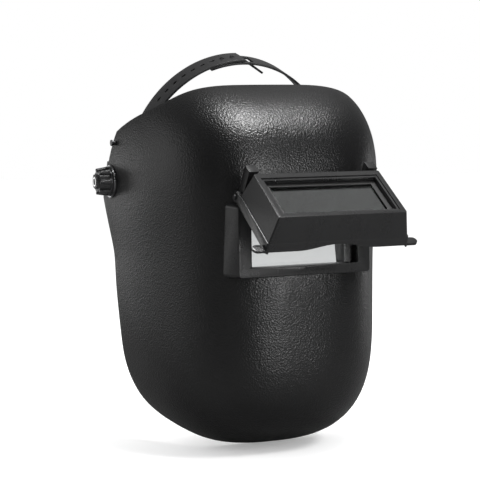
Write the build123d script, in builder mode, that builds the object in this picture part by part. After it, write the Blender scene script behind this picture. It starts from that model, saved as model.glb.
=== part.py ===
from build123d import *
import os
from math import acos, asin, atan2, cos, degrees, hypot, pi, radians, sin, tan

# Flip-front welding helmet, in millimetres.
# The origin is midway between the two temple pivots. +X is the wearer's left,
# +Y points to the back of the head and +Z is up, so the helmet faces -Y.
os.makedirs("parts", exist_ok=True)

# ---------------------------------------------------------------- driving dimensions
SIDES = {"left": 1, "right": -1}
GAP = 0.1                     # between flat faces that touch on the real helmet
CLEAR = 0.3                   # between pieces that move past each other
FIT = 0.05                    # radial clearance of a pin or shaft in its hole

LENS_W = 108.0                # standard filter plate, 4 1/4 in
LENS_H = 51.0                 # standard filter plate, 2 in
LENS_T = 3.0
WINDOW_Z = -46.8              # middle height of the fixed window

SHELL_WALL = 2.2
SHELL_HALF_WIDTH = 113.6
SHELL_AXIS_Y = 40.0           # the shell's cross-sections fan out from a line along X
SHELL_AXIS_Z = -70.0
SHELL_ROWS = 36
SHELL_COLUMNS = 32
SHELL_REACH = 84.0            # how far round each cross-section goes, in degrees
HOUSING_DEPTH_CUT = 24.0      # thickness of the block that trims the housing to the shell

HOUSING_W = 122.6             # fixed lens housing
HOUSING_H = 60.6
HOUSING_FRONT = -158.8
HOUSING_SHOULDER = -156.2     # the sides flare out from here back to the shell
HOUSING_BACK = -137.0
HOUSING_BASE_W = 135.6
HOUSING_BASE_H = 65.4
COLLAR_W = 114.0
COLLAR_H = 57.2
LENS_SEAT = -144.0

FLIP_ANGLE = 56.0             # the flip front stands open by this much at rest
HINGE_Y = -159.2              # flip hinge line, along X
HINGE_Z = -9.1
HINGE_TO_RIM = 28.6           # hinge line to rim, along the shade lens's normal
HINGE_ABOVE = 8.0             # hinge line above the rim's top edge
HINGE_PIN_R = 1.5
HORN_IN = 50.7                # the two horns that carry the hinge pins
HORN_OUT = 58.9
RIM_W = 114.5
RIM_H = 58.0
LEDGE_DEPTH = 22.0            # rim to the ledge round the flip front
SKIRT_DEPTH = 31.0            # rim to the back edge of the skirt
LIP_DEPTH = 29.5              # rim to the back edge of the lower wall
SHADE_MIDDLE = -29.85         # middle of the shade lens, below the rim's top edge

BOLT_R = 3.0                  # pivot bolt
BUSH_R = 6.0                  # sleeve that the shell turns on
PAD_IN = 113.1                # flat inner and outer faces of the shell round the pivot
PAD_OUT = 117.4
STOP_PIN_R = 2.0
STOP_PIN_Y = -6.0
STOP_PIN_Z = 34.6
TILT_RANGE = 68.0             # how far the mask lifts, in degrees
KNOB_BASE = 119.1

BAND_RX = 94.0                # head band, outer half width
BAND_RY = 99.0                # head band, outer half length
BAND_Y = 3.0
BAND_T = 2.0
BAND_LOW = -4.0
BAND_HIGH = 24.0
HUB_OUT = 107.0

CROWN_LEAN = 17.8             # the crown strap leans forwards, in degrees
CROWN_WIDTH = 24.0
CROWN_T = 2.0
CROWN_RX = 95.2               # inner half width of both halves of the strap
CROWN_TOP = 105.6             # inner height of the upper half
CROWN_TOP_UNDER = 103.1        # inner height of the lower half
HOLE_COUNT = 9
HOLE_STEP = 0.1               # between holes, in radians round the strap
RIVET_Z = 19.0

PINION_TEETH = 10
MODULE = 1.0
TOOTH_ADD = 0.8
TOOTH_DEPTH = 1.9
BACKLASH = 0.06
PINION_Z = 10.0
RACK_Y = 92.4
RACK_T = 2.0
CASE_W = 48.0
CASE_H = 34.0
CASE_FRONT = 89.4
CASE_BACK = 95.4
COVER_BACK = 98.2


# ---------------------------------------------------------------- shared planes
def facing(y):
    """Plane through the window's middle that looks forward: local x is +X, y is +Z."""
    return Plane(origin=(0, y, WINDOW_Z), x_dir=(1, 0, 0), z_dir=(0, -1, 0))


def beside(x, side):
    """Plane across the pivot axis, facing away from the head: local x is side * Y."""
    return Plane(origin=(side * x, 0, 0), x_dir=(0, side, 0), z_dir=(side, 0, 0))


def behind(y):
    """Plane that looks backwards: local x is -X, local y is +Z."""
    return Plane(origin=(0, y, 0), x_dir=(-1, 0, 0), z_dir=(0, 1, 0))


def save(part, name):
    part.label = name
    export_step(part, f"parts/{name}.step")


# Frame of the open flip front. Its z runs out of the lens, its y runs up the lens
# towards the hinge, and its origin is the middle of the rim's top edge.
flip_normal = Vector(0, -cos(radians(FLIP_ANGLE)), sin(radians(FLIP_ANGLE)))
flip_up = Vector(0, sin(radians(FLIP_ANGLE)), cos(radians(FLIP_ANGLE)))
flip_origin = Vector(0, HINGE_Y, HINGE_Z) + flip_normal * HINGE_TO_RIM - flip_up * HINGE_ABOVE
flip = Plane(origin=flip_origin, x_dir=(1, 0, 0), z_dir=flip_normal)
flip_side = Plane(origin=flip_origin, x_dir=flip_up, z_dir=(1, 0, 0))
flip_under = Plane(origin=flip_origin, x_dir=(1, 0, 0), z_dir=flip_up * -1)
HINGE_AT = (HINGE_ABOVE, -HINGE_TO_RIM)

# ---------------------------------------------------------------- shell
# One moulded skin. Its middle line runs from the brow over the front to the chin, and
# each cross-section is half a superellipse, squarer over the brow than at the front.
with BuildLine() as middle_line:
    Spline([(-20, 84), (-81, 85.2), (-141, 45.6), (-157.3, -20.3), (-156.5, -118),
            (-140.6, -205), (-82, -233.8), (10, -232)])


def shell_section(fraction):
    """Points of one cross-section of the shell's outer face."""
    point = middle_line.line @ fraction
    back = point.X - SHELL_AXIS_Y
    rise = point.Y - SHELL_AXIS_Z
    tilt = sin(atan2(rise, -back))
    upper = max(0.0, tilt) ** 2
    lower = max(0.0, -tilt) ** 2
    power = 2.76 + 2.5 * upper - 0.24 * lower + 0.48 * lower ** 2
    half_width = SHELL_HALF_WIDTH + 5.7 * upper + 2.4 * lower
    row = []
    for column in range(SHELL_COLUMNS + 1):
        angle = radians(SHELL_REACH * (2 * column / SHELL_COLUMNS - 1))
        radius = (abs(sin(angle)) ** power + cos(angle) ** power) ** (-1 / power)
        across = half_width * sin(angle) * radius
        along = cos(angle) * radius
        row.append(Vector(across, SHELL_AXIS_Y + back * along, SHELL_AXIS_Z + rise * along))
    return row


shell_rows = [shell_section(row / SHELL_ROWS) for row in range(SHELL_ROWS + 1)]
shell_face = Face.make_surface_from_array_of_points(shell_rows, tol=0.05, min_deg=3, max_deg=5)
shell_skin = Solid.thicken(shell_face, -SHELL_WALL)
inside_shell = Solid.thicken(shell_face, -HOUSING_DEPTH_CUT)

with BuildPart() as shell:
    add(shell_skin)
    with BuildSketch(Plane.YZ):
        with BuildLine():
            rim_line = Spline([(-88, 100), (-85, 85), (-77, 73.6), (-48, 60), (-8, 46), (19, 29),
                               (25, 10), (20, -11), (12, -35), (3, -85), (-4, -130), (-3, -172),
                               (-12, -200), (-40, -216), (-72, -245)])
            Polyline(rim_line @ 1, (60, -245), (60, 100), rim_line @ 0)
        make_face()
    extrude(amount=140, both=True, mode=Mode.SUBTRACT)
    with BuildSketch(facing(HOUSING_BACK)):
        RectangleRounded(COLLAR_W + 2 * CLEAR, COLLAR_H + 2 * CLEAR, 2)
    extrude(amount=30, mode=Mode.SUBTRACT)
    for side in SIDES.values():
        with BuildSketch(beside(PAD_IN, side)):
            Circle(15)
        extrude(amount=PAD_OUT - PAD_IN)
        with BuildSketch(beside(PAD_IN - 10, side)):
            Circle(BUSH_R + FIT)
            with Locations((side * STOP_PIN_Y, STOP_PIN_Z)):
                Circle(STOP_PIN_R)
        extrude(amount=30, mode=Mode.SUBTRACT)
        with BuildSketch(beside(PAD_OUT, side)):
            Circle(16)
        extrude(amount=10, mode=Mode.SUBTRACT)
        with BuildSketch(beside(PAD_IN - 10, side)):
            Circle(16)
        extrude(amount=10, mode=Mode.SUBTRACT)
save(shell.part, "shell")

# ---------------------------------------------------------------- tilt stop pins
# A stud on each side of the shell that meets the stop arm of the head band.
with BuildPart() as stop_pins:
    for side in SIDES.values():
        with BuildSketch(beside(PAD_IN - 6.2, side)):
            with Locations((side * STOP_PIN_Y, STOP_PIN_Z)):
                Circle(STOP_PIN_R)
        extrude(amount=11)
        with BuildSketch(beside(PAD_IN + 4.0, side)):
            with Locations((side * STOP_PIN_Y, STOP_PIN_Z)):
                Circle(2.8)
        extrude(amount=1.3)
save(stop_pins.part, "stop_pins")

# ---------------------------------------------------------------- fixed lens housing
# A smooth frame set into the front of the shell. Two horns rise from its top corners:
# they hold the hinge pins, and the open flip front rests against them.
with BuildPart() as lens_housing:
    with BuildSketch(facing(HOUSING_SHOULDER)):
        RectangleRounded(HOUSING_W, HOUSING_H, 3)
    extrude(amount=HOUSING_SHOULDER - HOUSING_FRONT)
    fillet(faces().sort_by(Axis.Y)[0].edges(), radius=1.0)
    with BuildSketch(facing(HOUSING_SHOULDER)):
        RectangleRounded(HOUSING_W, HOUSING_H, 3)
    with BuildSketch(facing(HOUSING_BACK)):
        with Locations((0, 0.8)):
            RectangleRounded(HOUSING_BASE_W, HOUSING_BASE_H, 5)
    loft()
    for start in (HORN_IN, -HORN_OUT):
        with BuildSketch(flip_side.offset(start)):
            with Locations((9.55, -19.0)):
                Rectangle(9.3, 35.6)
            with Locations(HINGE_AT):
                Circle(6.4)
        extrude(amount=HORN_OUT - HORN_IN)
        with BuildSketch(Plane.YZ.offset(start)):
            with Locations((-150.0, -11.0)):
                Rectangle(18.8, 13)
        extrude(amount=HORN_OUT - HORN_IN)
    add(inside_shell, mode=Mode.SUBTRACT)
    with BuildSketch(facing(HOUSING_BACK)):
        RectangleRounded(COLLAR_W, COLLAR_H, 2)
    extrude(amount=HOUSING_BACK - HOUSING_FRONT - 2.5)
    with BuildSketch(facing(LENS_SEAT - 2.5)):
        Rectangle(101.2, 44.2)
    extrude(amount=20, mode=Mode.SUBTRACT)
    with BuildSketch(facing(LENS_SEAT)):
        Rectangle(88.0, 46.8)
    extrude(amount=2.5, mode=Mode.SUBTRACT)
    with BuildSketch(facing(HOUSING_BACK)):
        Rectangle(LENS_W + 0.6, LENS_H + 0.6)
    extrude(amount=HOUSING_BACK - LENS_SEAT, mode=Mode.SUBTRACT)
    with BuildSketch(facing(HOUSING_BACK)):
        with GridLocations(80, 54.4, 2, 2):
            Circle(0.9)
    extrude(amount=4.5, mode=Mode.SUBTRACT)
    with BuildSketch(flip_side.offset(-HORN_OUT - 1)):
        with Locations(HINGE_AT):
            Circle(HINGE_PIN_R)
    extrude(amount=2 * HORN_OUT + 2, mode=Mode.SUBTRACT)
    with BuildSketch(facing(HOUSING_FRONT + 0.5)):
        with Locations((-2, -24.6)):
            RectangleRounded(5, 2.4, 1)
    extrude(amount=1.0)
save(lens_housing.part, "lens_housing")

# ---------------------------------------------------------------- window stack
# From the front: clear safety lens, rubber gasket, then the frame that four screws
# pull against the back of the housing.
with BuildPart() as clear_lens:
    with BuildSketch(facing(LENS_SEAT + GAP + LENS_T)):
        Rectangle(LENS_W, LENS_H)
    extrude(amount=LENS_T)
save(clear_lens.part, "clear_lens")

with BuildPart() as clear_lens_gasket:
    with BuildSketch(facing(HOUSING_BACK)):
        Rectangle(LENS_W, LENS_H)
        Rectangle(94, 47.6, mode=Mode.SUBTRACT)
    extrude(amount=HOUSING_BACK - LENS_SEAT - LENS_T - 2 * GAP)
save(clear_lens_gasket.part, "clear_lens_gasket")

with BuildPart() as inner_frame:
    with BuildSketch(facing(HOUSING_BACK + 2.6)):
        RectangleRounded(126, 66, 4)
        Rectangle(96, 47.6, mode=Mode.SUBTRACT)
        with GridLocations(80, 54.4, 2, 2):
            Circle(1.1, mode=Mode.SUBTRACT)
    extrude(amount=2.5)
save(inner_frame.part, "inner_frame")

with BuildPart() as frame_screws:
    with BuildSketch(facing(HOUSING_BACK + 4.0)):
        with GridLocations(80, 54.4, 2, 2):
            Circle(2.0)
    extrude(amount=1.3)
    with BuildSketch(facing(HOUSING_BACK + 2.7)):
        with GridLocations(80, 54.4, 2, 2):
            Circle(0.9)
    extrude(amount=6.5)
save(frame_screws.part, "frame_screws")

# ---------------------------------------------------------------- flip front
# A deep frame that hinges down over the fixed housing. Cheeks at its top corners turn
# on the hinge pins, and a rounded tab at each lower corner is for the thumb.
with BuildPart() as flip_frame:
    with BuildSketch(flip):
        with Locations((0, -RIM_H / 2)):
            RectangleRounded(RIM_W, RIM_H, 1.5)
    with BuildSketch(flip.offset(-LEDGE_DEPTH)):
        with Locations((0, -30.3)):
            RectangleRounded(125.2, 65.2, 2)
    loft()
    with BuildSketch(flip.offset(-LEDGE_DEPTH)):
        with Locations((0, -29.95)):
            RectangleRounded(127.2, 65.9, 2)
    with BuildSketch(flip.offset(-SKIRT_DEPTH)):
        with Locations((0, -30.8)):
            RectangleRounded(128.0, 68.2, 2)
    loft()
    for start in (59.3, -63.9):
        with BuildSketch(flip_side.offset(start)):
            with Locations(HINGE_AT):
                Circle(4.2)
            with Locations((2.5, -27.1)):
                Rectangle(11, 8)
        extrude(amount=4.6)
    with BuildSketch(flip.offset(0.7 - SKIRT_DEPTH)):
        for side in SIDES.values():
            with Locations((side * 64.1, -60)):
                Rectangle(12.2, 8)
            with Locations((side * 70.2, -60)):
                Circle(4)
    extrude(amount=2.2)
    with BuildSketch(flip.offset(-SKIRT_DEPTH - 3)):
        with Locations((0, -29.9)):
            Rectangle(123.6, 61.8)
    extrude(amount=6.4, mode=Mode.SUBTRACT)
    with BuildSketch(flip.offset(-27.6)):
        with Locations((0, -29.9)):
            Rectangle(119, 59)
    with BuildSketch(flip.offset(-12)):
        with Locations((0, SHADE_MIDDLE)):
            Rectangle(113, 54.5)
    loft(mode=Mode.SUBTRACT)
    with BuildSketch(flip.offset(-12)):
        with Locations((0, SHADE_MIDDLE)):
            Rectangle(LENS_W + 0.6, LENS_H + 0.6)
    extrude(amount=6.8, mode=Mode.SUBTRACT)
    with BuildSketch(flip.offset(-8)):
        with Locations((0, SHADE_MIDDLE)):
            Rectangle(102, 43.7)
    extrude(amount=10, mode=Mode.SUBTRACT)
    with BuildSketch(flip.offset(-1)):
        with Locations((0, SHADE_MIDDLE)):
            Rectangle(106, 48.5)
    extrude(amount=3, mode=Mode.SUBTRACT)
    with BuildSketch(flip.offset(-SKIRT_DEPTH - 1)):
        with Locations((0, 0)):
            Rectangle(100, 8.4)
    extrude(amount=5.2, mode=Mode.SUBTRACT)
    with BuildSketch(flip.offset(-SKIRT_DEPTH - 1)):
        for side in SIDES.values():
            with Locations((side * 54.7, 0)):
                Rectangle(9.4, 8.4)
    extrude(amount=10.4, mode=Mode.SUBTRACT)
    with BuildSketch(flip_under.offset(52)):
        with BuildLine():
            arch = Spline(
                [(x, 2.25 * (1 + cos(pi * x / 36)) - LIP_DEPTH) for x in (-36, -18, 0, 18, 36)],
                tangents=[(1, 0), (1, 0)],
            )
            Polyline(arch @ 1, (61.8, -LIP_DEPTH), (61.8, -SKIRT_DEPTH - 3),
                     (-61.8, -SKIRT_DEPTH - 3), (-61.8, -LIP_DEPTH), arch @ 0)
        make_face()
    extrude(amount=18, mode=Mode.SUBTRACT)
    with BuildSketch(flip_side.offset(-70)):
        with Locations(HINGE_AT):
            Circle(HINGE_PIN_R + FIT)
    extrude(amount=140, mode=Mode.SUBTRACT)
save(flip_frame.part, "flip_frame")


def flip_plate(front, thickness, width, height, window=None):
    """A rectangular plate in the flip front, with its front face this far behind the rim."""
    with BuildPart() as plate:
        with BuildSketch(flip.offset(-front - thickness)):
            with Locations((0, SHADE_MIDDLE)):
                Rectangle(width, height)
                if window:
                    Rectangle(*window, mode=Mode.SUBTRACT)
        extrude(amount=thickness)
    return plate.part


# From the front: rubber gasket, clear cover plate, dark filter, spring and retainer.
save(flip_plate(5.3, 1.0, LENS_W, LENS_H, (93.0, 37.6)), "flip_gasket")
save(flip_plate(6.4, 1.0, LENS_W, LENS_H), "cover_lens")
save(flip_plate(7.5, LENS_T, LENS_W, LENS_H), "shade_lens")
save(flip_plate(10.6, 1.3, LENS_W, LENS_H, (98.0, 42.0)), "lens_spring")
save(flip_plate(12.1, 2.4, 112.4, 54.0, (96.0, 40.0)), "shade_retainer")

# ---------------------------------------------------------------- hinge pins
with BuildPart() as hinge_pins:
    for side in SIDES.values():
        hinge_side = Plane(origin=(0, HINGE_Y, HINGE_Z), x_dir=(0, side, 0), z_dir=(side, 0, 0))
        with BuildSketch(hinge_side.offset(HORN_IN + 0.5)):
            Circle(HINGE_PIN_R)
        extrude(amount=13.4)
        with BuildSketch(hinge_side.offset(64.0)):
            Circle(2.3)
        extrude(amount=1.2)
save(hinge_pins.part, "hinge_pins")

# ---------------------------------------------------------------- head band
# The front band goes round the forehead to both temples, and each temple has a hub
# that reaches out towards the shell.
with BuildPart() as headband:
    with BuildSketch(Plane.XY.offset(BAND_LOW)):
        with Locations((0, BAND_Y)):
            Ellipse(BAND_RX, BAND_RY)
            Ellipse(BAND_RX - BAND_T, BAND_RY - BAND_T, mode=Mode.SUBTRACT)
        with Locations((0, 38)):
            Rectangle(220, 150, align=(Align.CENTER, Align.MIN), mode=Mode.SUBTRACT)
    extrude(amount=BAND_HIGH - BAND_LOW)
    for side in SIDES.values():
        with BuildSketch(beside(BAND_RX - BAND_T + 0.4, side)):
            Circle(11)
        extrude(amount=HUB_OUT - BAND_RX + BAND_T - 0.4)
        with BuildSketch(beside(80, side)):
            Circle(BOLT_R + FIT)
            with Locations((side * 2.0, RIVET_Z)):
                Circle(2.0)
        extrude(amount=40, mode=Mode.SUBTRACT)
save(headband.part, "headband")

with BuildPart() as brow_sweatband:
    with BuildSketch(Plane.XY.offset(BAND_LOW - 1)):
        with Locations((0, BAND_Y)):
            Ellipse(BAND_RX - BAND_T - 0.2, BAND_RY - BAND_T - 0.2)
            Ellipse(BAND_RX - BAND_T - 5.2, BAND_RY - BAND_T - 5.2, mode=Mode.SUBTRACT)
        with Locations((0, -34)):
            Rectangle(220, 150, align=(Align.CENTER, Align.MIN), mode=Mode.SUBTRACT)
    extrude(amount=BAND_HIGH - BAND_LOW + 2)
save(brow_sweatband.part, "brow_sweatband")

# ---------------------------------------------------------------- crown strap
# Two flat straps rise from the temples and overlap over the head. The right one lies
# on top, has the row of holes, and tucks its tongue down through a slot in the left
# one. Two pegs on the left one hold the length.
crown = Plane(
    origin=(0, 4.6, 8.7),
    x_dir=(1, 0, 0),
    z_dir=(0, -cos(radians(CROWN_LEAN)), -sin(radians(CROWN_LEAN))),
)
CROWN_BASE = 5.0
CROWN_OVERLAP = 32.0


def crown_hole_plane(angle, rx, ry):
    """Plane on a strap's face, at this angle from the top towards the right ear."""
    point = crown.from_local_coords(Vector(-rx * sin(angle), ry * cos(angle), 0))
    outward = Vector(-sin(angle) / rx, cos(angle) / ry, 0).normalized()
    normal = crown.from_local_coords(outward) - crown.origin
    tangent = crown.from_local_coords(Vector(outward.Y, -outward.X, 0)) - crown.origin
    return Plane(origin=point, x_dir=tangent, z_dir=normal)


def crown_ring(top):
    """Sketch of the closed oval that one half of the strap is cut from."""
    Ellipse(CROWN_RX + CROWN_T, top + CROWN_T)
    Ellipse(CROWN_RX, top, mode=Mode.SUBTRACT)


hole_angles = [0.09 + HOLE_STEP * index for index in range(HOLE_COUNT)]

with BuildPart() as crown_strap_right:
    with BuildSketch(crown):
        crown_ring(CROWN_TOP)
        with Locations((0, CROWN_BASE)):
            Rectangle(110, 110, align=(Align.MAX, Align.MIN), mode=Mode.INTERSECT)
    extrude(amount=CROWN_WIDTH / 2, both=True)
    with BuildSketch(crown):
        with BuildLine():
            Polyline((-0.5, CROWN_TOP + CROWN_T), (-0.5, CROWN_TOP), (20.0, 93.0), (21.0, 94.7),
                     (0.4, CROWN_TOP + CROWN_T), close=True)
        make_face()
    extrude(amount=7.5, both=True)
    for angle in hole_angles:
        with BuildSketch(crown_hole_plane(angle, CROWN_RX, CROWN_TOP)):
            SlotOverall(5.0, 3.2)
        extrude(amount=3, both=True, mode=Mode.SUBTRACT)
    with BuildSketch(beside(80, -1)):
        with Locations((-2.0, RIVET_Z)):
            Circle(2.0)
    extrude(amount=40, mode=Mode.SUBTRACT)
save(crown_strap_right.part, "crown_strap_right")

with BuildPart() as crown_strap_left:
    with BuildSketch(crown):
        crown_ring(CROWN_TOP_UNDER)
        with Locations((-CROWN_OVERLAP, CROWN_BASE)):
            Rectangle(160, 110, align=(Align.MIN, Align.MIN), mode=Mode.INTERSECT)
    extrude(amount=CROWN_WIDTH / 2, both=True)
    with BuildSketch(crown):
        with Locations((5.2, CROWN_TOP_UNDER)):
            Rectangle(10.4, 12)
    extrude(amount=8, both=True, mode=Mode.SUBTRACT)
    for angle in hole_angles[:2]:
        with BuildSketch(crown_hole_plane(angle, CROWN_RX, CROWN_TOP_UNDER)):
            Circle(1.3)
        extrude(amount=6)
    with BuildSketch(beside(80, 1)):
        with Locations((2.0, RIVET_Z)):
            Circle(2.0)
    extrude(amount=40, mode=Mode.SUBTRACT)
save(crown_strap_left.part, "crown_strap_left")

with BuildPart() as crown_rivets:
    for side in SIDES.values():
        with BuildSketch(beside(90.6, side)):
            with Locations((side * 2.0, RIVET_Z)):
                Circle(4.0)
        extrude(amount=1.2)
        with BuildSketch(beside(91.8, side)):
            with Locations((side * 2.0, RIVET_Z)):
                Circle(2.0)
        extrude(amount=6.0)
        with BuildSketch(beside(97.0, side)):
            with Locations((side * 2.0, RIVET_Z)):
                Circle(4.0)
        extrude(amount=1.2)
save(crown_rivets.part, "crown_rivets")

# ---------------------------------------------------------------- temple pivots
# Each side, from the head outwards: bolt, stop arm, rubber washer on a sleeve, the
# shell, outer washer and the clamping knob with its threaded insert.
pin_angle = degrees(atan2(STOP_PIN_Y, STOP_PIN_Z))
pin_reach = hypot(STOP_PIN_Y, STOP_PIN_Z)
FINGER_W = 5.0
finger_offset = degrees(asin((STOP_PIN_R + FINGER_W / 2 + CLEAR) / pin_reach))
finger_angles = (pin_angle - finger_offset, pin_angle + TILT_RANGE + finger_offset + 0.6)

for name, side in SIDES.items():
    with BuildPart() as stop_arm:
        with BuildSketch(beside(HUB_OUT + GAP, side)):
            Circle(12)
            for finger_angle in finger_angles:
                with PolarLocations(23, 1, start_angle=90 - side * finger_angle):
                    Rectangle(29, FINGER_W)
            Circle(BOLT_R + FIT, mode=Mode.SUBTRACT)
        extrude(amount=2.0)
    save(stop_arm.part, f"stop_arm_{name}")


def turned_pair(rings):
    """The same turned piece on both sides, from (start, length, outer, bore) rings."""
    with BuildPart() as pair:
        for side in SIDES.values():
            for start, length, outer, bore in rings:
                with BuildSketch(beside(start, side)):
                    Circle(outer)
                    if bore:
                        Circle(bore, mode=Mode.SUBTRACT)
                extrude(amount=length)
    return pair.part


ARM_OUT = HUB_OUT + GAP + 2.0
save(turned_pair([(88.0, 3.2, 7.0, 0), (91.2, 40.2, BOLT_R, 0)]), "pivot_bolts")
save(turned_pair([(ARM_OUT + GAP, 9.7, BUSH_R, BOLT_R + FIT)]), "pivot_sleeves")
save(turned_pair([(ARM_OUT + GAP, 3.7, 13.0, BUSH_R + FIT)]), "friction_washers")
save(turned_pair([(PAD_OUT + GAP, 1.4, 14.5, BUSH_R + FIT)]), "outer_washers")

KNOB_LOBES = 7
for name, side in SIDES.items():
    with BuildPart() as pivot_knob:
        with BuildSketch(beside(KNOB_BASE, side)):
            Circle(13.6)
        extrude(amount=1.6)
        with BuildSketch(beside(KNOB_BASE + 1.6, side)):
            Circle(10.6)
            with PolarLocations(10.4, KNOB_LOBES):
                Circle(3.0)
        extrude(amount=9.6, taper=9)
        with BuildSketch(beside(KNOB_BASE + 11.2, side)):
            Circle(7.0)
        extrude(amount=2.2, taper=20)
        with BuildSketch(beside(KNOB_BASE, side)):
            Circle(BOLT_R + FIT)
        extrude(amount=20, mode=Mode.SUBTRACT)
        with BuildSketch(beside(KNOB_BASE + 5.0, side)):
            Circle(4.15)
        extrude(amount=20, mode=Mode.SUBTRACT)
    save(pivot_knob.part, f"pivot_knob_{name}")
    with BuildPart() as knob_insert:
        with BuildSketch(beside(KNOB_BASE + 5.0, side)):
            Circle(4.15)
            Circle(BOLT_R + FIT, mode=Mode.SUBTRACT)
        extrude(amount=8.8)
    save(knob_insert.part, f"knob_insert_{name}")

# ---------------------------------------------------------------- size ratchet
# The two halves of the rear band end in racks that pass above and below one pinion.
pitch_r = MODULE * PINION_TEETH / 2
rack_pitch = pi * MODULE
pressure = radians(20)


def rack_half_tooth(height):
    """Half width of a rack tooth at this height above the pitch line."""
    return rack_pitch / 4 - BACKLASH - height * tan(pressure)


root = rack_half_tooth(TOOTH_ADD - TOOTH_DEPTH)
tip = rack_half_tooth(TOOTH_ADD)
RACK_ROOT = pitch_r + TOOTH_DEPTH - TOOTH_ADD
with BuildSketch() as rack_tooth:
    with BuildLine():
        Polyline((-root, RACK_ROOT), (-tip, pitch_r - TOOTH_ADD), (tip, pitch_r - TOOTH_ADD),
                 (root, RACK_ROOT), close=True)
    make_face()


rack_plane = Plane(origin=(0, RACK_Y + RACK_T, PINION_Z), x_dir=(1, 0, 0), z_dir=(0, -1, 0))
with BuildPart() as rear_band_left:
    with BuildSketch(Plane.XY):
        with Locations((0, BAND_Y)):
            Ellipse(91.4, 96.4)
            Ellipse(89.6, 94.6, mode=Mode.SUBTRACT)
        with Locations((78, 66)):
            Rectangle(100, 80, mode=Mode.INTERSECT)
    extrude(amount=2 * PINION_Z)
    with BuildSketch(rack_plane):
        with Locations((8, (RACK_ROOT + PINION_Z) / 2)):
            Rectangle(46, PINION_Z - RACK_ROOT)
        with Locations(*[(index * rack_pitch, 0) for index in range(-4, 8)]):
            add(rack_tooth.sketch)
    extrude(amount=RACK_T)
save(rear_band_left.part, "rear_band_left")

# The right half is the left one turned half round the pinion's axis.
pinion_axis = Axis((0, 0, PINION_Z), (0, 1, 0))
save(rear_band_left.part.rotate(pinion_axis, 180), "rear_band_right")


def tooth_half_angle(radius):
    """Half angle of an involute pinion tooth at this radius."""
    base = pitch_r * cos(pressure)
    flank = acos(min(1.0, base / radius))
    involute = tan(flank) - flank
    return pi / (2 * PINION_TEETH) - BACKLASH / pitch_r + tan(pressure) - pressure - involute


root_r = pitch_r - TOOTH_DEPTH + TOOTH_ADD
flank = []
for radius in (root_r - 0.3, 4.7, 5.25, pitch_r + TOOTH_ADD):
    half = tooth_half_angle(radius)
    flank.append((radius * cos(half), radius * sin(half)))

with BuildSketch() as pinion_tooth:
    with BuildLine():
        Polyline(*flank, *[(x, -y) for x, y in reversed(flank)], close=True)
    make_face()

with BuildPart() as ratchet_pinion:
    with BuildSketch(behind(RACK_Y - 0.4)):
        with Locations((0, PINION_Z)):
            Circle(root_r)
            with PolarLocations(0, PINION_TEETH):
                add(pinion_tooth.sketch)
    extrude(amount=2.7)
    with BuildSketch(behind(RACK_Y + 2.3)):
        with Locations((0, PINION_Z)):
            Circle(3.0)
    extrude(amount=15)
    with BuildSketch(behind(CASE_FRONT + 0.8)):
        with Locations((0, PINION_Z)):
            Circle(2.0)
    extrude(amount=2.0)
save(ratchet_pinion.part, "ratchet_pinion")

with BuildPart() as ratchet_housing:
    with BuildSketch(behind(CASE_FRONT)):
        with Locations((0, PINION_Z)):
            RectangleRounded(CASE_W, CASE_H, 6)
    extrude(amount=CASE_BACK - CASE_FRONT)
    with BuildSketch(behind(RACK_Y - 0.8)):
        with Locations((0, PINION_Z)):
            Rectangle(CASE_W + 2, 20.8)
    extrude(amount=10, mode=Mode.SUBTRACT)
    with BuildSketch(behind(CASE_FRONT + 0.7)):
        with Locations((0, PINION_Z)):
            Circle(2.0 + FIT)
    extrude(amount=5, mode=Mode.SUBTRACT)
    with BuildSketch(behind(CASE_BACK)):
        with Locations((0, PINION_Z)):
            with GridLocations(38, 27, 2, 2):
                Circle(1.0)
    extrude(amount=-4, mode=Mode.SUBTRACT)
save(ratchet_housing.part, "ratchet_housing")

with BuildPart() as ratchet_cover:
    with BuildSketch(behind(CASE_BACK + GAP)):
        with Locations((0, PINION_Z)):
            RectangleRounded(CASE_W, CASE_H, 6)
            Circle(3.0 + FIT, mode=Mode.SUBTRACT)
            with GridLocations(38, 27, 2, 2):
                Circle(1.1, mode=Mode.SUBTRACT)
    extrude(amount=COVER_BACK - CASE_BACK - GAP)
    with BuildSketch(behind(COVER_BACK)):
        with Locations((0, PINION_Z)):
            Circle(13)
            Circle(10.5, mode=Mode.SUBTRACT)
    extrude(amount=2.0)
save(ratchet_cover.part, "ratchet_cover")

with BuildPart() as ratchet_screws:
    with BuildSketch(behind(COVER_BACK + GAP)):
        with Locations((0, PINION_Z)):
            with GridLocations(38, 27, 2, 2):
                Circle(2.0)
    extrude(amount=1.2)
    with BuildSketch(behind(COVER_BACK + GAP)):
        with Locations((0, PINION_Z)):
            with GridLocations(38, 27, 2, 2):
                Circle(1.0)
    extrude(amount=-6)
save(ratchet_screws.part, "ratchet_screws")

with BuildPart() as ratchet_spring:
    with BuildSketch(behind(COVER_BACK + GAP)):
        with Locations((0, PINION_Z)):
            Circle(9.5)
            Circle(5.0, mode=Mode.SUBTRACT)
    extrude(amount=0.6)
save(ratchet_spring.part, "ratchet_spring")

KNOB_FRONT = 100.6
with BuildPart() as ratchet_knob:
    with BuildSketch(behind(KNOB_FRONT)):
        with Locations((0, PINION_Z)):
            Circle(15.5)
            with PolarLocations(14.6, 12):
                Circle(2.6)
    extrude(amount=11)
    fillet(edges().filter_by(Plane.XZ).group_by(Axis.Y)[-1], radius=1.2)
    with BuildSketch(behind(KNOB_FRONT)):
        with Locations((0, PINION_Z)):
            Circle(3.0)
    extrude(amount=9.1, mode=Mode.SUBTRACT)
save(ratchet_knob.part, "ratchet_knob")

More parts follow.
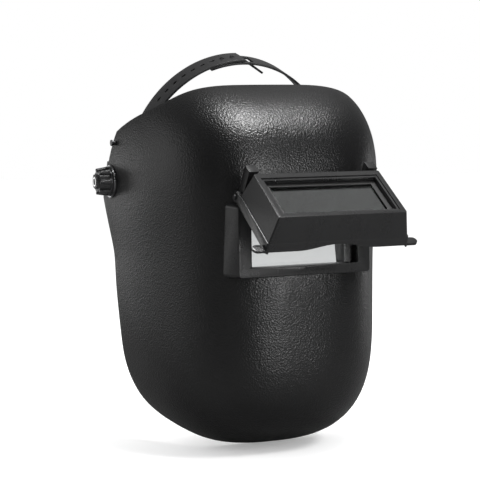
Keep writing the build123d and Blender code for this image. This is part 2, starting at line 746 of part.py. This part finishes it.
with BuildPart() as nape_pad:
    with BuildSketch(Plane.XY.offset(PINION_Z - 14)):
        with BuildLine():
            ThreePointArc((-24, 82.6), (0, 84.4), (24, 82.6))
            Polyline((24, 82.6), (23, 89.2), (-23, 89.2), (-24, 82.6))
        make_face()
    extrude(amount=28)
save(nape_pad.part, "nape_pad")
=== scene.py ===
from math import cos, pi, radians, sin

import bmesh
import bpy
from mathutils import Matrix, Vector
from mathutils.bvhtree import BVHTree


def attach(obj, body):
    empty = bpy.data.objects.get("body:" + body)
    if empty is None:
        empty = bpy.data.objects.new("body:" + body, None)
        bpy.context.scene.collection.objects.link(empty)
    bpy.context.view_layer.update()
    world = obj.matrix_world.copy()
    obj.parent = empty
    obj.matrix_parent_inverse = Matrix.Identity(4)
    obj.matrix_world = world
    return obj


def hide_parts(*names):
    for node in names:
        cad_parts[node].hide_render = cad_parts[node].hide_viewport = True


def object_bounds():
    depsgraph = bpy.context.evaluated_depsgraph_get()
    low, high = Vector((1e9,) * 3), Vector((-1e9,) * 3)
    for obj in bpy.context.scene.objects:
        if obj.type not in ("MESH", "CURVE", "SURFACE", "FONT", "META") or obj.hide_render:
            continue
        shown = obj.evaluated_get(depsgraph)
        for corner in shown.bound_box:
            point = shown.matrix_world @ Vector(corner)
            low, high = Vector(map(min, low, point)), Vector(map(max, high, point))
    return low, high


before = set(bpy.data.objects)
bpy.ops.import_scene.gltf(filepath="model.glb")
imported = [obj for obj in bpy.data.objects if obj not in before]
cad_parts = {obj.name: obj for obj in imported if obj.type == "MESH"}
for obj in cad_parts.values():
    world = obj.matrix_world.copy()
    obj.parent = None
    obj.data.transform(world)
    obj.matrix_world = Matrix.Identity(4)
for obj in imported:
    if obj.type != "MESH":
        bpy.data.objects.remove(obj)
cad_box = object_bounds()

# ---------------------------------------------------------------- studio
# A pale floor under the chin and softboxes round the helmet. The camera stands before the
# helmet's right cheek, a little above the window. One softbox lights only matt surfaces.
FLOOR_GAP = 0.0004
FLOOR_RADIUS = 6
FLOOR_SIDES = 96
FLOOR_Z = cad_box[0][2] - FLOOR_GAP
CAMERA_TURN = radians(-23.5)
CAMERA_RISE = radians(4.9)
CAMERA_ROLL = radians(-0.8)
CAMERA_DISTANCE = 1.4068
LOOK_ASIDE = 0.0083
LOOK_Z = -0.0629
MATT_ONLY = "floor_softbox"

backward = Vector((
    sin(CAMERA_TURN) * cos(CAMERA_RISE), -cos(CAMERA_TURN) * cos(CAMERA_RISE), sin(CAMERA_RISE),
))
level_right = Vector((cos(CAMERA_TURN), sin(CAMERA_TURN), 0))
level_up = backward.cross(level_right)
right = level_right * cos(CAMERA_ROLL) + level_up * sin(CAMERA_ROLL)
upward = level_up * cos(CAMERA_ROLL) - level_right * sin(CAMERA_ROLL)
camera_at = level_right * LOOK_ASIDE + Vector((0, 0, LOOK_Z)) + backward * CAMERA_DISTANCE
camera_axes = Matrix((right, upward, backward)).transposed().to_4x4()

bpy.ops.object.select_all(action="DESELECT")
bpy.ops.object.camera_add()
camera = bpy.context.object
camera.name = "camera"
camera.data.lens = 110.5
camera.data.clip_end = 20
camera.matrix_world = Matrix.Translation(camera_at) @ camera_axes
bpy.context.scene.camera = camera
bpy.context.scene.view_settings.view_transform = "Standard"

# Each softbox has a place, a point it faces, its width and height, and its power in watts.
for name, place, target, size, watts in (
    ("overhead_softbox", (0.18, -0.34, 1.18), (-0.03, -0.11, 0.05), (0.34, 0.34), 17.0),
    ("rear_softbox", (0.50, 0.25, 1.05), (0, -0.18, -0.02), (0.90, 0.70), 0.7),
    ("front_softbox", (0.20, -1.45, 0.0), (0, -0.15, -0.08), (0.20, 1.40), 14.0),
    ("side_softbox", (-1.25, 0.45, 0.0), (-0.1, 0, -0.08), (1.0, 1.3), 3.6),
    ("edge_softbox", (1.15, 0.30, -0.12), (0.1, -0.05, -0.10), (0.22, 0.5), 0.8),
    ("knob_softbox", (-0.62, 1.15, -0.06), (-0.13, 0, 0), (0.34, 0.34), 0.60),
    ("floor_softbox", (0.80, -1.10, 0.95), (0, -0.05, -0.12), (0.40, 0.40), 16),
):
    bpy.ops.object.light_add(type="AREA", location=place)
    lamp = bpy.context.object
    lamp.name = name
    lamp.data.shape = "RECTANGLE"
    lamp.data.size, lamp.data.size_y = size
    lamp.data.energy = watts
    aim = Vector(target) - Vector(place)
    lamp.rotation_euler = aim.to_track_quat("-Z", "Y").to_euler()
    lamp.visible_glossy = name != MATT_ONLY


class Shade:
    """A value that varies over a surface. Arithmetic on it adds Math nodes."""

    def __init__(self, work, socket):
        self.work = work
        self.socket = socket

    def combine(self, operation, first, second):
        return self.work.add("ShaderNodeMath", {"operation": operation}, {0: first, 1: second})

    def __add__(self, other):
        return self.combine("ADD", self, other)

    def __mul__(self, other):
        return self.combine("MULTIPLY", self, other)

    __radd__ = __add__
    __rmul__ = __mul__


class NodeWork:
    """The nodes of one material, or of the room."""

    def __init__(self, tree):
        self.tree = tree

    def add(self, kind, settings=None, sockets=None, output=0):
        node = self.tree.nodes.new(kind)
        for setting, value in (settings or {}).items():
            setattr(node, setting, value)
        for socket, value in (sockets or {}).items():
            self.plug(node.inputs[socket], value)
        return Shade(self, node.outputs[output])

    def plug(self, socket, value):
        if isinstance(value, Shade):
            self.tree.links.new(value.socket, socket)
        else:
            socket.default_value = value

    def mirrored(self):
        """1 where something is seen in a reflection, and 0 elsewhere."""
        glossy = self.add("ShaderNodeLightPath", output="Is Glossy Ray")
        return glossy * self.add("ShaderNodeLightPath", output="Is Reflection Ray")


class Finish(NodeWork):
    """A material and the nodes that give it its grain."""

    def __init__(self, name, colour, roughness, constants=None):
        self.material = bpy.data.materials.new(name)
        self.material.use_nodes = True
        super().__init__(self.material.node_tree)
        self.shader = self.tree.nodes["Principled BSDF"]
        self.shader.inputs["Base Color"].default_value = (*colour, 1)
        self.shader.inputs["Roughness"].default_value = roughness
        for socket, value in (constants or {}).items():
            self.shader.inputs[socket].default_value = value

    def feed(self, socket, value):
        self.plug(self.shader.inputs[socket], value)

    def place(self, stretch=(1, 1, 1)):
        """Object coordinates, stretched."""
        at = self.add("ShaderNodeTexCoord", output="Object")
        return self.add("ShaderNodeMapping", sockets={"Vector": at, "Scale": stretch})

    def noise(self, at, scale, detail=2.0):
        return self.add("ShaderNodeTexNoise", sockets={"Vector": at, "Scale": scale, "Detail": detail})

    def cells(self, at, scale, feature="F1"):
        return self.add(
            "ShaderNodeTexVoronoi", {"feature": feature}, {"Vector": at, "Scale": scale}, "Distance",
        )

    def between(self, factor, low, high):
        """A colour that goes from low to high with the factor."""
        return self.add(
            "ShaderNodeMix", {"data_type": "RGBA"},
            {"Factor": factor, COLOUR_LOW: (*low, 1), COLOUR_HIGH: (*high, 1)}, COLOUR_OUT,
        )

    def bump(self, height, distance, strength=1.0):
        normal = self.add(
            "ShaderNodeBump", sockets={"Height": height, "Distance": distance, "Strength": strength},
        )
        self.feed("Normal", normal)


# A Mix node has its colour sockets after those for numbers and vectors.
COLOUR_LOW, COLOUR_HIGH, COLOUR_OUT = 6, 7, 2

bpy.ops.object.select_all(action="DESELECT")
bpy.ops.mesh.primitive_circle_add(vertices=FLOOR_SIDES, radius=FLOOR_RADIUS, fill_type="NGON")
floor = bpy.context.object
floor.name = "studio_floor"
floor.data.transform(Matrix.Translation((0, 0, FLOOR_Z)))

# The floor and the room are bright to look at and dim in reflections, so that the black
# plastic stays black. The room is darkest in front.
floor_paper = Finish("floor_paper", (0.78, 0.78, 0.78), 0.9,
                     {"Emission Color": (1, 1, 1, 1), "Emission Strength": 0.28})
dim_paper = floor_paper.add("ShaderNodeBsdfDiffuse", sockets={"Color": (0.13, 0.13, 0.13, 1)})
bright_paper = Shade(floor_paper, floor_paper.shader.outputs[0])
paper = floor_paper.add("ShaderNodeMixShader",
                        sockets={0: floor_paper.mirrored(), 1: bright_paper, 2: dim_paper})
floor_paper.plug(floor_paper.tree.nodes["Material Output"].inputs["Surface"], paper)
floor.data.materials.append(floor_paper.material)

ROOM_DARK = 0.01
ROOM_LIGHT = 0.20
world = bpy.data.worlds.new("studio_room")
bpy.context.scene.world = world
world.use_nodes = True
room = NodeWork(world.node_tree)
direction = room.add("ShaderNodeTexCoord", output="Generated")
rearward = room.add("ShaderNodeSeparateXYZ", sockets={0: direction}, output="Y")
reflected = room.add(
    "ShaderNodeMapRange", {"interpolation_type": "SMOOTHSTEP"},
    {"Value": rearward, "From Min": -0.9, "From Max": 1.0, "To Min": ROOM_DARK, "To Max": ROOM_LIGHT},
    "Result",
)
glow = room.add("ShaderNodeMix", {"data_type": "FLOAT"},
                {"Factor": room.mirrored(), "A": 1.0, "B": reflected}, "Result")
background = room.tree.nodes["Background"]
room.plug(background.inputs["Strength"], glow)
background.inputs["Color"].default_value = (1, 1, 1, 1)


# ---------------------------------------------------------------- face shell
# One injection-moulded skin of black plastic, with a leather grain. It turns on the two
# pivots at the temples and carries the window. Moulded edges are never quite sharp, so
# this piece and the other moulded ones are eased copies of their CAD shapes.
SAME_PLACE = 0.000002
NEARLY_FLAT = radians(0.6)
STRAY_SHARE = 0.45


def alone(piece):
    """Makes this the only selected object, and the active one."""
    bpy.ops.object.select_all(action="DESELECT")
    piece.select_set(True)
    bpy.context.view_layer.objects.active = piece


def moulded(name, node, body, slot, finish, corner, tidy=True, sharp=32):
    """A piece from a CAD node's shape with eased edges: it stands for that node.
    A corner that the bevel throws off the moulding is put back on its surface."""
    piece = bpy.data.objects.new(name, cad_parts[node].data.copy())
    bpy.context.scene.collection.objects.link(piece)
    alone(piece)
    bpy.ops.object.mode_set(mode="EDIT")
    bpy.ops.mesh.select_all(action="SELECT")
    bpy.ops.mesh.remove_doubles(threshold=SAME_PLACE)
    if tidy:
        bpy.ops.mesh.dissolve_limited(angle_limit=NEARLY_FLAT)
    bpy.ops.object.mode_set(mode="OBJECT")
    if corner:
        surface = BVHTree.FromObject(piece, bpy.context.evaluated_depsgraph_get())
        ease = piece.modifiers.new("ease", "BEVEL")
        ease.width = corner
        ease.segments = 3
        ease.limit_method = "ANGLE"
        ease.angle_limit = radians(sharp)
        ease.harden_normals = True
        bpy.ops.object.shade_smooth()
        bpy.ops.object.modifier_apply(modifier=ease.name)
        for vertex in piece.data.vertices:
            nearest, _, _, apart_by = surface.find_nearest(vertex.co)
            if apart_by > corner * STRAY_SHARE:
                vertex.co = nearest
    bpy.ops.object.shade_smooth_by_angle(angle=radians(sharp))
    return dressed(piece, body, slot, finish, node)


def dressed(piece, body, slot, finish, *nodes):
    """Gives a finished piece its material, its body and the nodes it stands for."""
    piece.data.materials.clear()
    piece.data.materials.append(finish.material)
    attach(piece, body)
    if nodes:
        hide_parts(*nodes)
    return piece


shell_grain = Finish("leather_grained_plastic", (0.005, 0.005, 0.0052), 0.46,
                     {"Specular IOR Level": 0.5})
grain_at = shell_grain.place()
wander = shell_grain.noise(grain_at, 620, 2)
grain_shift = shell_grain.add(
    "ShaderNodeVectorMath", {"operation": "MULTIPLY_ADD"},
    {0: wander, 1: (0.0004, 0.0004, 0.0004), 2: grain_at},
)
pebbles = shell_grain.cells(grain_shift, 820, "SMOOTH_F1")
creases = shell_grain.noise(grain_shift, 1300, 3)
shell_grain.bump(pebbles + creases * 0.3, 0.0007, 0.5)
patches = shell_grain.noise(grain_at, 14, 3)
shell_grain.feed("Roughness", 0.25 + patches * 0.08 + pebbles * 0.08)
shell_grain.feed(
    "Base Color", shell_grain.between(patches, (0.0020, 0.0020, 0.0021), (0.0036, 0.0036, 0.0038)),
)

moulded("face_shell", "shell", "mask", "grained_plastic", shell_grain, 0.0005, tidy=False, sharp=40)

# ---------------------------------------------------------------- lens housing
# The fixed window frame, moulded in smooth satin plastic and set into the front of the
# shell. A clamping frame behind it is screwed on and holds the clear lens.
satin = Finish("satin_black_plastic", (0.007, 0.007, 0.0073), 0.34, {"Specular IOR Level": 0.5})
satin_at = satin.place()
flow = satin.noise(satin.place((1.6, 1, 1)), 26, 3)
fine = satin.noise(satin_at, 1900, 3)
satin.bump(fine, 0.00006, 0.45)
satin.feed("Roughness", 0.22 + flow * 0.08 + fine * 0.04)
satin.feed("Base Color", satin.between(flow, (0.0035, 0.0035, 0.0037), (0.0060, 0.0060, 0.0063)))

moulded("window_housing", "lens_housing", "mask", "smooth_plastic", satin, 0.0005)
moulded("window_clamp_frame", "inner_frame", "mask", "smooth_plastic", satin, 0.0004)

# ---------------------------------------------------------------- flip front
# The deep frame that hinges over the window, moulded in the same smooth plastic. A thin
# retainer behind the filter plate and its spring keeps them in place.
moulded("flip_front_frame", "flip_frame", "flip_front", "smooth_plastic", satin, 0.0009)
moulded("filter_retainer", "shade_retainer", "flip_front", "smooth_plastic", satin, 0.0004)

# ---------------------------------------------------------------- lenses
# Flat plates cut to one standard size: clear polycarbonate in the window and in front of
# the filter, and the dark filter glass, which looks black from outside.


def recoat(finish, *nodes):
    """Gives CAD nodes a better material."""
    for node in nodes:
        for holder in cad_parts[node].material_slots:
            holder.material = finish.material


clear = Finish("clear_polycarbonate", (0.52, 0.53, 0.53), 0.02, {"IOR": 1.5, "Transmission Weight": 1.0})
recoat(clear, "clear_lens", "cover_lens")
filter_glass = Finish("dark_filter_glass", (0.010, 0.013, 0.011), 0.16,
                      {"IOR": 1.52, "Specular IOR Level": 0.2})
recoat(filter_glass, "shade_lens")

# ---------------------------------------------------------------- rubber
# Soft black gaskets, punched from sheet, lie under the window lens and under the cover
# plate. The knobs squeeze a thick rubber washer on each pivot.
rubber = Finish("black_rubber", (0.012, 0.012, 0.012), 0.62)
rubber_dust = rubber.noise(rubber.place(), 900, 3)
rubber.bump(rubber_dust, 0.00006, 0.6)
rubber.feed("Roughness", 0.5 + rubber_dust * 0.25)
recoat(rubber, "clear_lens_gasket", "flip_gasket", "friction_washers")

# ---------------------------------------------------------------- metal
# Turned and pressed steel parts. The bolts, sleeves, washers, screws and springs are zinc
# plated, the pins and rivets are blackened, and the knobs' inserts are bright plated.
zinc = Finish("zinc_plated_steel", (0.55, 0.55, 0.56), 0.28, {"Metallic": 1.0})
turned = zinc.noise(zinc.place(), 1500, 2)
zinc.bump(turned, 0.00002, 0.5)
zinc.feed("Roughness", 0.20 + turned * 0.2)
recoat(zinc, "pivot_bolts", "pivot_sleeves", "outer_washers", "frame_screws", "ratchet_screws",
       "ratchet_spring", "lens_spring")
dark_metal = Finish("blackened_steel", (0.05, 0.05, 0.052), 0.35, {"Metallic": 0.9})
dark_noise = dark_metal.noise(dark_metal.place(), 1100, 2)
dark_metal.feed("Roughness", 0.28 + dark_noise * 0.2)
recoat(dark_metal, "hinge_pins", "crown_rivets", "stop_pins")
bright = Finish("bright_plated_insert", (0.88, 0.88, 0.88), 0.14, {"Metallic": 1.0})
bright_noise = bright.noise(bright.place(), 1300, 2)
bright.feed("Roughness", 0.16 + bright_noise * 0.10)
recoat(bright, "knob_insert_left", "knob_insert_right")

# ---------------------------------------------------------------- straps and bands
# The head gear is moulded in flexible black plastic with a fine matt texture: the band
# round the brow, the two halves of the crown strap, the stop arms and the rear straps.
strap_plastic = Finish("strap_plastic", (0.013, 0.013, 0.0135), 0.40)
strap_at = strap_plastic.place()
strap_noise = strap_plastic.noise(strap_at, 1500, 3)
strap_sweep = strap_plastic.noise(strap_at, 40, 3)
strap_plastic.bump(strap_noise, 0.00005, 0.5)
strap_plastic.feed("Roughness", 0.30 + strap_sweep * 0.16)
for name, node, body in (
    ("forehead_band", "headband", "headgear"),
    ("crown_strap_over", "crown_strap_right", "headgear"),
    ("crown_strap_under", "crown_strap_left", "headgear"),
    ("tilt_stop_left", "stop_arm_left", "headgear"),
    ("tilt_stop_right", "stop_arm_right", "headgear"),
    ("rear_strap_left", "rear_band_left", "rear_left"),
    ("rear_strap_right", "rear_band_right", "rear_right"),
):
    moulded(name, node, body, "strap_plastic", strap_plastic, 0.0003)

# ---------------------------------------------------------------- knobs and ratchet
# Hard glossy black plastic. Two star knobs clamp the pivots, and the knob at the back turns
# a pinion in a small case, which draws in the rear straps.
knob_plastic = Finish("knob_plastic", (0.012, 0.012, 0.0125), 0.3)
knob_noise = knob_plastic.noise(knob_plastic.place(), 700, 3)
knob_plastic.bump(knob_noise, 0.00004, 0.4)
knob_plastic.feed("Roughness", 0.18 + knob_noise * 0.12)
for name, node, body, corner in (
    ("star_knob_left", "pivot_knob_left", "knob_left", 0.0006),
    ("star_knob_right", "pivot_knob_right", "knob_right", 0.0006),
    ("size_knob", "ratchet_knob", "ratchet_drive", 0.0004),
    ("size_pinion", "ratchet_pinion", "ratchet_drive", 0.0001),
    ("ratchet_case", "ratchet_housing", "headgear", 0.0005),
    ("ratchet_lid", "ratchet_cover", "headgear", 0.0005),
):
    moulded(name, node, body, "knob_plastic", knob_plastic, corner)

# ---------------------------------------------------------------- sweatband and nape pad
# Foam sewn into cloth. Each is laid out flat, held at its border and its sewn channels,
# blown up between them as cloth at ten times its size, and then bent to the head.
ENLARGED = 10
VOXEL = 0.0016
PRESSURE = 4
LAST_FRAME = 20
SLOPE = 0.0055
SEWN_WIDTH = 0.0009
SEWN_SHARE = 0.22


def stuffed(name, length, height, thick, channels, cap):
    """A flat closed pad along X that swells between its sewn lines. Sizes in metres."""
    bpy.ops.object.select_all(action="DESELECT")
    bpy.ops.mesh.primitive_cube_add(size=1, location=(0, 0, 0))
    pad = bpy.context.object
    pad.name = name
    pad.data.transform(Matrix.Diagonal((length * ENLARGED, thick * ENLARGED, height * ENLARGED, 1)))
    skin = pad.modifiers.new("skin", "REMESH")
    skin.mode = "VOXEL"
    skin.voxel_size = VOXEL * ENLARGED
    bpy.ops.object.modifier_apply(modifier=skin.name)
    held = []
    for vertex in pad.data.vertices:
        across, out, up = vertex.co / ENLARGED
        to_sewn = min(
            length / 2 - abs(across), height / 2 - abs(up),
            *(abs(across - channel) for channel in channels),
        )
        rise = min(max(to_sewn / SLOPE, 0), 1)
        full = SEWN_SHARE + (1 - SEWN_SHARE) * (3 - 2 * rise) * rise ** 2
        vertex.co.y = out * ENLARGED * full
        if to_sewn < SEWN_WIDTH:
            held.append(vertex.index)
    pad.vertex_groups.new(name="sewn").add(held, 1, "REPLACE")
    start = [vertex.co.copy() for vertex in pad.data.vertices]
    cloth = pad.modifiers.new("cloth", "CLOTH")
    cloth.settings.use_pressure = True
    cloth.settings.uniform_pressure_force = PRESSURE
    cloth.settings.vertex_group_mass = "sewn"
    cloth.settings.effector_weights.gravity = 0
    for step in range(1, LAST_FRAME + 1):
        bpy.context.scene.frame_set(step)
    blown = pad.evaluated_get(bpy.context.evaluated_depsgraph_get()).data
    moved = [vertex.co.copy() for vertex in blown.vertices]
    pad.modifiers.remove(cloth)
    bpy.context.scene.frame_set(1)
    for vertex, first, last in zip(pad.data.vertices, start, moved):
        shift = last - first
        vertex.co = first + shift * min(1, cap * ENLARGED / max(shift.length, 1e-9))
    alone(pad)
    rounder = pad.modifiers.new("rounder", "SUBSURF")
    rounder.levels = rounder.render_levels = 1
    bpy.ops.object.modifier_apply(modifier=rounder.name)
    bpy.ops.object.shade_smooth()
    pad.data.transform(Matrix.Diagonal((1 / ENLARGED, 1 / ENLARGED, 1 / ENLARGED, 1)))
    weave_map = pad.data.uv_layers.new(name="weave")
    for loop in pad.data.loops:
        spot = pad.data.vertices[loop.vertex_index].co
        weave_map.data[loop.index].uv = (spot.x, spot.z + spot.y)
    return pad


PITCH = 0.0034
STITCH_LENGTH = 0.0024
THREAD_R = 0.00026
THREAD_LIFT = 0.00004
FAR = 0.02


def sewn_rows(name, pad, rows):
    """Stitches lying on both faces of a flat pad, along rows of (start, end)."""
    bpy.ops.object.select_all(action="DESELECT")
    bpy.ops.mesh.primitive_ico_sphere_add(subdivisions=1, radius=1, location=(0, 0, 0))
    stitch = bpy.context.object
    stitch.data.transform(Matrix.Diagonal((THREAD_R, THREAD_R, STITCH_LENGTH / 2, 1)))
    surface = BVHTree.FromObject(pad, bpy.context.evaluated_depsgraph_get())
    thread = bmesh.new()
    for start, end in rows:
        start, end = Vector(start), Vector(end)
        along = (end - start).normalized()
        lie = along.to_track_quat("Z", "Y").to_matrix().to_4x4()
        for step in range(int((end - start).length / PITCH)):
            at = start + along * PITCH * (step + 0.5)
            for facing in (-1, 1):
                hit = surface.ray_cast(at + Vector((0, facing * FAR, 0)), Vector((0, -facing, 0)))[0]
                if hit is None:
                    continue
                sewn = stitch.data.copy()
                sewn.transform(Matrix.Translation(hit + Vector((0, facing * THREAD_LIFT, 0))) @ lie)
                thread.from_mesh(sewn)
                bpy.data.meshes.remove(sewn)
    bpy.data.objects.remove(stitch)
    rows_mesh = bpy.data.meshes.new(name)
    thread.to_mesh(rows_mesh)
    thread.free()
    sewing = bpy.data.objects.new(name, rows_mesh)
    bpy.context.scene.collection.objects.link(sewing)
    alone(sewing)
    bpy.ops.object.shade_smooth()
    return sewing


def woven(name, low, high, threads):
    """Plain-weave cloth with a little fuzz, threads per metre, on the piece's own map."""
    cloth = Finish(name, low, 0.85, {"Sheen Weight": 0.12, "Sheen Roughness": 0.5})
    chart = cloth.add("ShaderNodeUVMap", {"uv_map": "weave"})
    along = cloth.add("ShaderNodeSeparateXYZ", sockets={0: chart}, output="X")
    up = cloth.add("ShaderNodeSeparateXYZ", sockets={0: chart}, output="Y")
    warp = cloth.add("ShaderNodeMath", {"operation": "SINE"}, {0: along * (threads * pi)})
    weft = cloth.add("ShaderNodeMath", {"operation": "SINE"}, {0: up * (threads * pi)})
    crossing = warp * weft
    fuzz = cloth.noise(cloth.place(), 1700, 3)
    worn = cloth.noise(cloth.place(), 60, 3)
    cloth.bump(crossing * 0.5 + fuzz * 0.6, 0.00035, 0.8)
    cloth.feed("Base Color", cloth.between(worn * 0.7 + fuzz * 0.3, low, high))
    cloth.feed("Roughness", 0.78 + fuzz * 0.18)
    return cloth


THREADS = 900
sweat_cloth = woven("sweatband_cloth", (0.014, 0.0145, 0.016), (0.034, 0.035, 0.039), THREADS)
pad_cloth = woven("nape_pad_cloth", (0.010, 0.010, 0.011), (0.026, 0.026, 0.029), THREADS)
thread_plain = Finish("sewing_thread", (0.10, 0.10, 0.105), 0.6)
twist = thread_plain.noise(thread_plain.place(), 4200, 2)
thread_plain.bump(twist, 0.00004, 0.6)
thread_plain.feed("Roughness", 0.45 + twist * 0.3)

# The pads' middle height, and the middle line of the brow pad inside the forehead band.
PADS_Z = 0.010
BROW_SPAN = radians(66)
BROW_LENGTH = 0.212
BROW_ACROSS = 0.0893
BROW_DEEP = 0.0943
BAND_MIDDLE_Y = 0.003
BROW_CHANNEL_PITCH = 0.0235


def to_brow(pieces):
    """Bends flat pieces round the inside of the forehead band."""
    for piece in pieces:
        for vertex in piece.data.vertices:
            turn = vertex.co.x / BROW_LENGTH * 2 * BROW_SPAN
            out = vertex.co.y
            vertex.co = Vector((
                (BROW_ACROSS - out) * sin(turn),
                BAND_MIDDLE_Y - (BROW_DEEP - out) * cos(turn),
                vertex.co.z + PADS_Z,
            ))


brow_channels = [step * BROW_CHANNEL_PITCH for step in range(-4, 5)]
brow_pad = stuffed("brow_sweatband_padded", BROW_LENGTH, 0.0285, 0.0040, brow_channels, 0.00045)
brow_rows = [((-0.1045, 0, height), (0.1045, 0, height)) for height in (-0.0128, 0.0128)]
brow_rows += [((across, 0, -0.0118), (across, 0, 0.0118)) for across in brow_channels]
brow_stitches = sewn_rows("sweatband_stitches", brow_pad, brow_rows)
to_brow([brow_pad, brow_stitches])
dressed(brow_pad, "headgear", "sweatband_cloth", sweat_cloth, "brow_sweatband")
dressed(brow_stitches, "headgear", "sweatband_cloth", thread_plain)

# The nape pad lies on the front of the ratchet case, hollowed a little to the head.
NAPE_Y = 0.0868
NAPE_SAG = 0.0006
NAPE_HALF = 0.024


def to_nape(pieces):
    """Curves flat pieces to the back of the head."""
    for piece in pieces:
        for vertex in piece.data.vertices:
            vertex.co.y += NAPE_Y - NAPE_SAG * (vertex.co.x / NAPE_HALF) ** 2
            vertex.co.z += PADS_Z


nape_channels = [-0.0085, 0.0085]
nape = stuffed("nape_pad_padded", 0.046, 0.027, 0.0036, nape_channels, 0.0005)
nape_rows = [((-0.0215, 0, height), (0.0215, 0, height)) for height in (-0.0121, 0.0121)]
nape_rows += [((across, 0, -0.0112), (across, 0, 0.0112))
              for across in (-0.0216, *nape_channels, 0.0216)]
nape_stitches = sewn_rows("nape_pad_stitches", nape, nape_rows)
to_nape([nape, nape_stitches])
dressed(nape, "headgear", "pad_cloth", pad_cloth, "nape_pad")
dressed(nape_stitches, "headgear", "pad_cloth", thread_plain)
